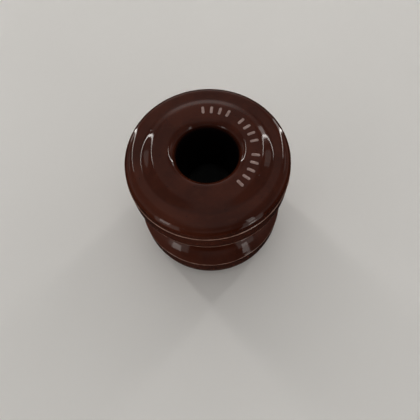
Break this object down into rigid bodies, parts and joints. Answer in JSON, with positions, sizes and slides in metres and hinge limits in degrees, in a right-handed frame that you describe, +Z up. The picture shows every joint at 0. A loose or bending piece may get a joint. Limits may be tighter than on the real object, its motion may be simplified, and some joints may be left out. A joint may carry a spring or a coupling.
{
  "type": "spool insulator",
  "caption": "Brown-glazed porcelain spool with two rounded flanges, a groove for the line wire and an axial hole for a rack bolt.",
  "frame": {"origin": "centre of the foot ring, on the surface that the spool stands on", "axes": "+Z up along the bore's axis; the spool is the same all round and at both ends, so +X and +Y are free"},
  "size_m": [0.0572, 0.0572, 0.054],
  "materials": {
    "porcelain": "bare fired porcelain, matt, showing only at the foot ring",
    "brown_glaze": "dark chocolate brown glass glaze, very glossy, thinner and redder at the edges",
    "mark_ink": null
  },
  "bodies": {
    "root": {"porcelain_body": "porcelain", "glaze_coat": "brown_glaze"}
  },
  "joints": []
}
